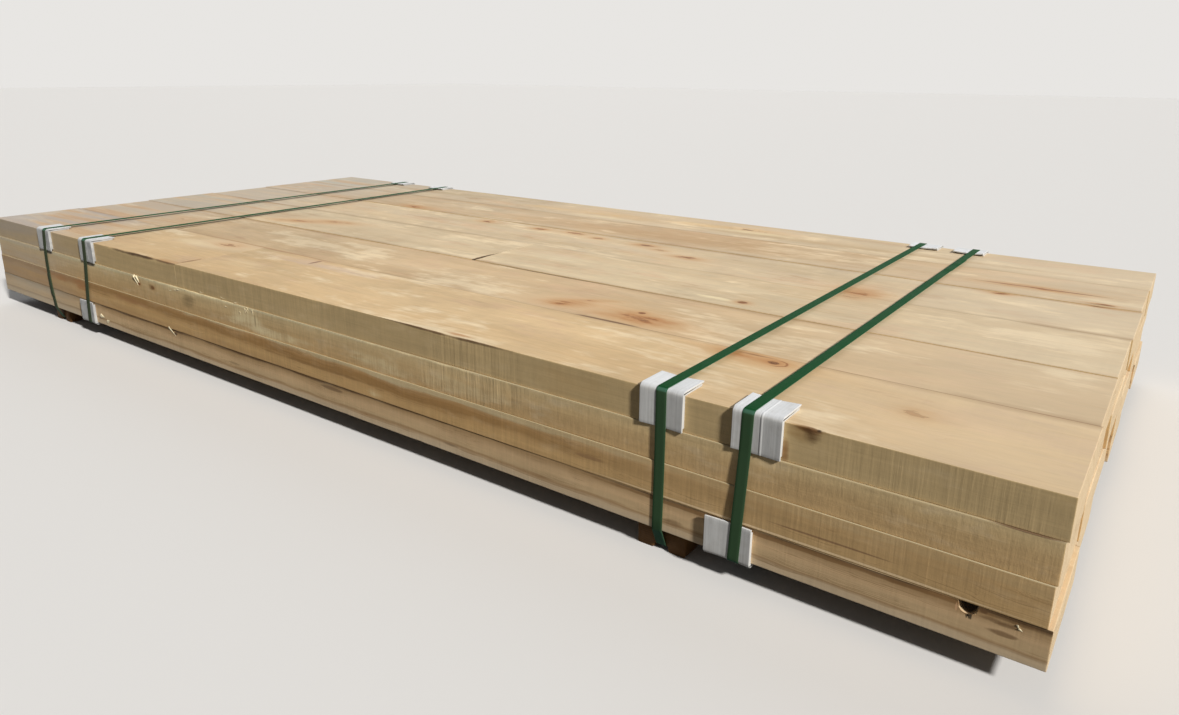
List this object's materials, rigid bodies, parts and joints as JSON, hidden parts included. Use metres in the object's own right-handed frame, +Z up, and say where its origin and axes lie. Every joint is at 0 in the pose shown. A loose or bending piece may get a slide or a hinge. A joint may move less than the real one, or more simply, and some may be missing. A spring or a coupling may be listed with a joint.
{
  "type": "strapped stack of boards",
  "caption": "Flat strapped pack of rough-sawn cedar boards in layers, on grooved bearers, with plastic straps and corner protectors.",
  "frame": {"origin": "on the floor under the middle of the pack, at the undersides of the bearers", "axes": "+X along the boards to the end nearer the second pair of straps, +Y across the pack to the back, +Z up"},
  "size_m": [2.63, 1.2312, 0.247],
  "materials": {
    "cedar_board": "rough-sawn pale yellow cedar with pinkish grain",
    "bearer_timber": "rough-sawn orange-brown timber",
    "protector_plastic": "moulded white plastic, slightly scuffed",
    "strap_plastic": "green polyester strapping, satin, finely embossed"
  },
  "bodies": {
    "root": {"back_bottom_protector_2": "protector_plastic", "back_bottom_protector_4": "protector_plastic", "back_top_protector_1": "protector_plastic", "back_top_protector_2": "protector_plastic", "back_top_protector_3": "protector_plastic", "back_top_protector_4": "protector_plastic", "front_bottom_protector_2": "protector_plastic", "front_bottom_protector_4": "protector_plastic", "front_top_protector_1": "protector_plastic", "front_top_protector_2": "protector_plastic", "front_top_protector_3": "protector_plastic", "front_top_protector_4": "protector_plastic", "layer_1_board_1": "cedar_board", "layer_1_board_2": "cedar_board", "layer_1_board_3": "cedar_board", "layer_1_board_4": "cedar_board", "layer_1_board_5": "cedar_board", "layer_1_board_6": "cedar_board", "layer_2_board_1": "cedar_board", "layer_2_board_2": "cedar_board", "layer_2_board_3": "cedar_board", "layer_2_board_4": "cedar_board", "layer_2_board_5": "cedar_board", "layer_2_board_6": "cedar_board", "layer_3_board_1": "cedar_board", "layer_3_board_2": "cedar_board", "layer_3_board_3": "cedar_board", "layer_3_board_4": "cedar_board", "layer_3_board_5": "cedar_board", "layer_3_board_6": "cedar_board", "layer_4_board_1_left": "cedar_board", "layer_4_board_1_right": "cedar_board", "layer_4_board_2_left": "cedar_board", "layer_4_board_2_right": "cedar_board", "layer_4_board_3_left": "cedar_board", "layer_4_board_3_right": "cedar_board", "layer_4_board_4_left": "cedar_board", "layer_4_board_4_right": "cedar_board", "layer_4_board_5": "cedar_board", "layer_4_board_6": "cedar_board", "left_bearer": "bearer_timber", "right_bearer": "bearer_timber", "strap_1": "strap_plastic", "strap_2": "strap_plastic", "strap_3": "strap_plastic", "strap_4": "strap_plastic"}
  },
  "joints": []
}
